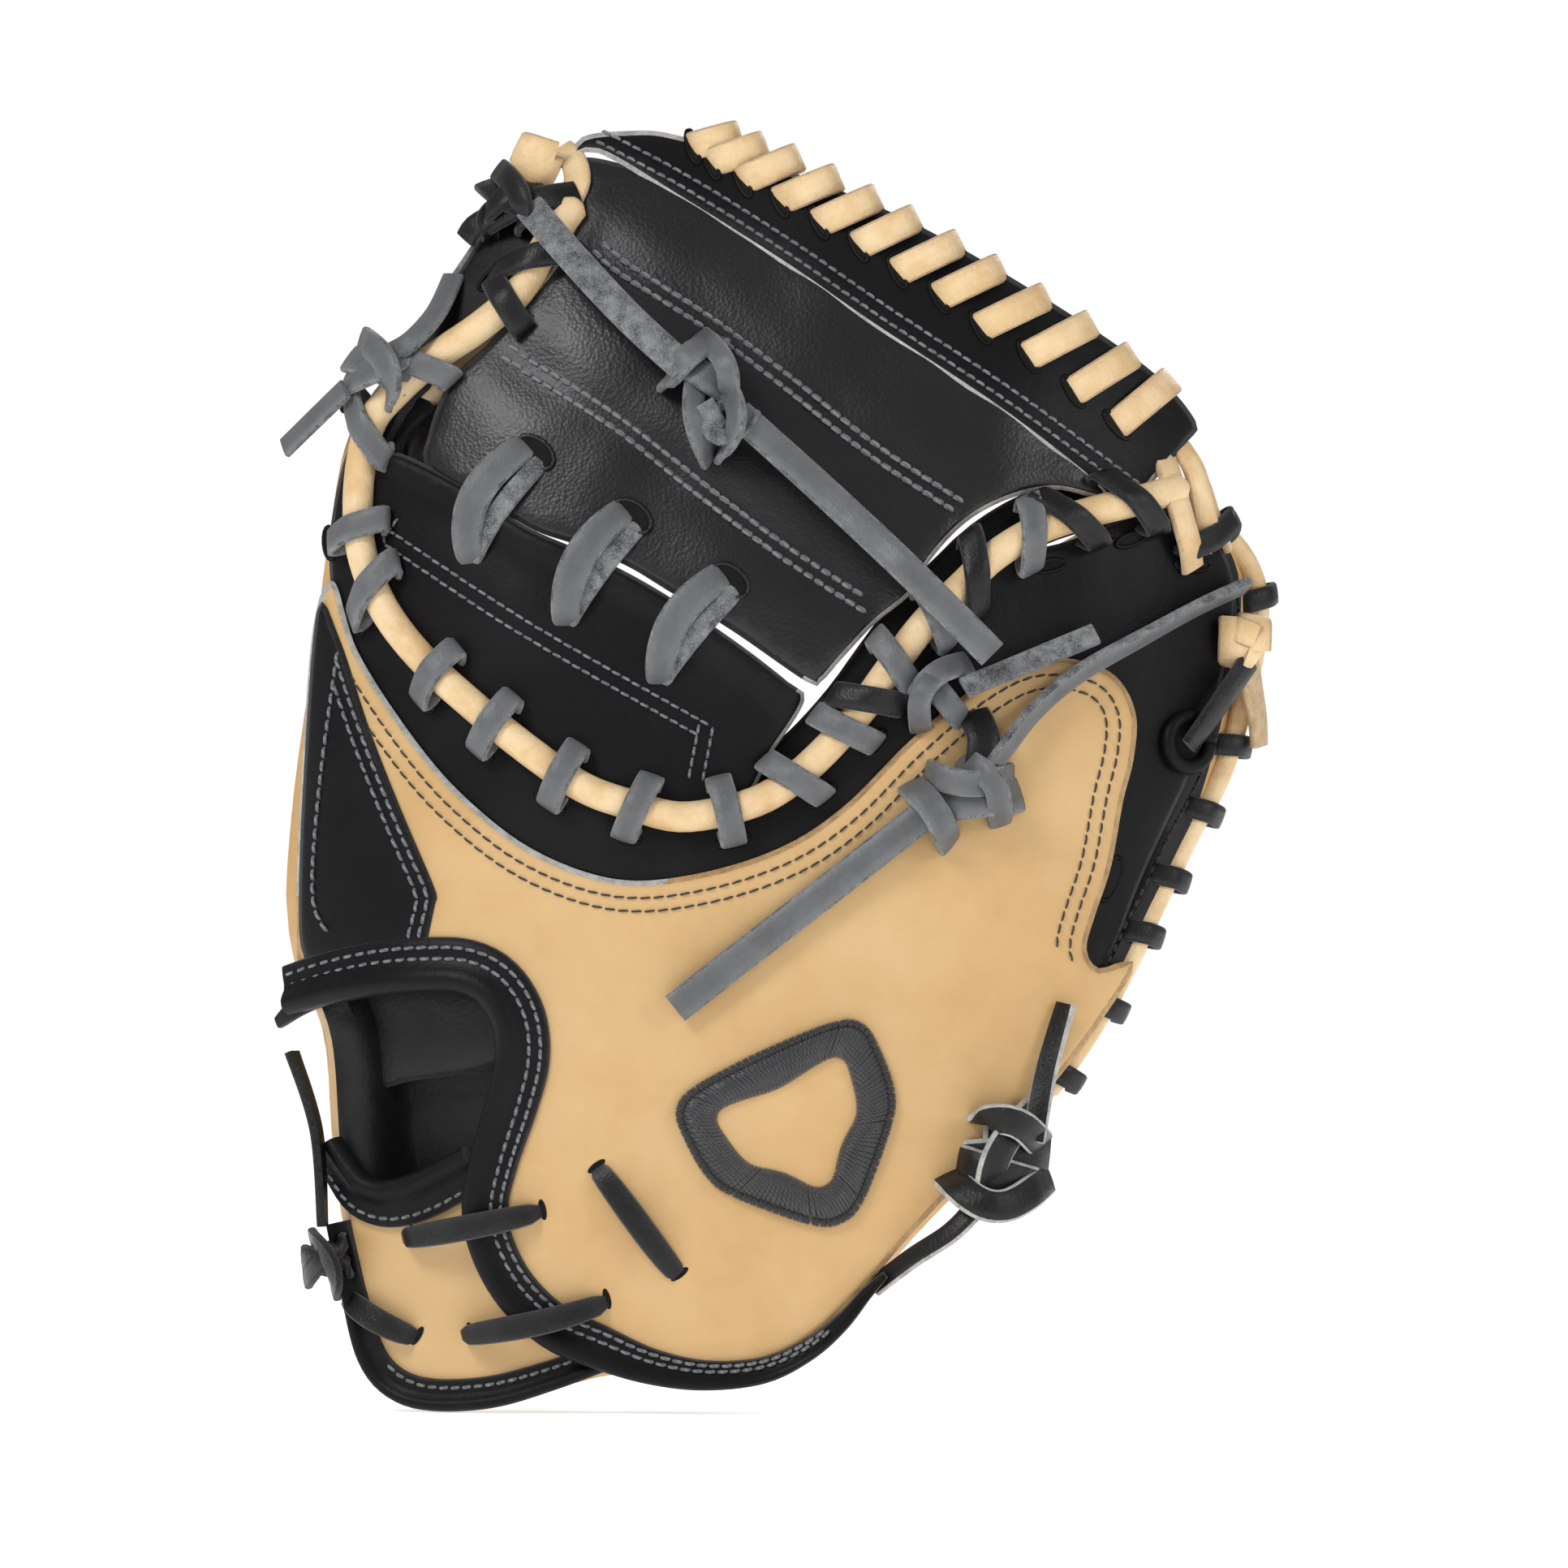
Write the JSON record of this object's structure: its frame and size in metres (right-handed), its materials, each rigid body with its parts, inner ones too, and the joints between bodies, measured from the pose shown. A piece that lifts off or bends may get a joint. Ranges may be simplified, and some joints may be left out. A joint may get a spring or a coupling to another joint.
{
  "type": "baseball catcher's mitt",
  "caption": "Padded catcher's mitt with a tan shell, black panels and bindings, rolled edges, a laced closed web, a wrist strap and a thumb side that folds towards the fingers.",
  "frame": {"origin": "under the middle of the mitt, on the level of its lowest point", "axes": "+Z from heel to web, +Y out of the pocket, back of the hand towards -Y, thumb side at -X"},
  "size_m": [0.2429, 0.0895, 0.3165],
  "materials": {
    "tan_leather": "satin",
    "pocket_leather": "satin",
    "black_leather": "satin",
    "lining": "matte",
    "grey_lace": "matte",
    "black_lace": "matte",
    "cream_lace": "satin",
    "felt": "matte"
  },
  "bodies": {
    "finger_side": {"back_shell": "tan_leather", "collar": "black_leather", "edge_lace": "grey_lace", "edge_roll": "cream_lace", "finger_pad": "felt", "finger_side_panel": "black_leather", "finger_tie": "grey_lace", "finger_tie_knot": "grey_lace", "finger_tie_tail": "grey_lace", "heel_lace": "black_lace", "heel_pad": "felt", "heel_tie": "black_lace", "heel_tie_knot": "black_lace", "heel_tie_tail": "black_lace", "horn_collar": "black_leather", "horn_top_knot": "black_lace", "opening_binding": "black_leather", "palm_leather": "pocket_leather", "palm_liner": "lining", "palm_pad": "felt", "rim_lace": "black_lace", "rim_roll": "cream_lace", "rim_top_knot": "cream_lace", "rim_top_tail": "black_lace", "side_tie_knot": "grey_lace", "side_tie_tail": "grey_lace", "strap_base_binding": "black_leather", "strap_lace_lower": "black_lace", "strap_lace_upper": "black_lace", "strap_top_binding": "black_leather", "thumb_tie_knot": "grey_lace", "web_cross_lace_1": "grey_lace", "web_cross_lace_2": "grey_lace", "web_cross_lace_3": "grey_lace", "web_lower_lining": "lining", "web_lower_panel": "black_leather", "web_main_lining": "lining", "web_main_panel": "black_leather", "web_tie": "grey_lace", "web_tie_knot": "grey_lace", "web_tie_tail": "grey_lace", "web_top_band": "black_leather", "web_top_knot": "cream_lace", "web_top_lace": "cream_lace", "wrist_strap": "tan_leather", "wrist_tie_knot": "black_lace", "wrist_tie_tail": "black_lace"},
    "thumb_side": {"thumb_collar": "black_leather", "thumb_shell": "tan_leather", "thumb_panel": "black_leather", "thumb_binding": "black_leather", "thumb_liner": "lining", "thumb_pad": "felt", "thumb_leather": "pocket_leather"}
  },
  "joints": [
    {"name": "pocket_fold", "type": "hinge", "parent": "finger_side", "child": "thumb_side", "pos_m": [-0.0601, 0.0563, 0.008], "axis": [0, 0.2329, -0.9725], "range_deg": [0, 22], "stiffness_Nm_per_rad": 3}
  ]
}
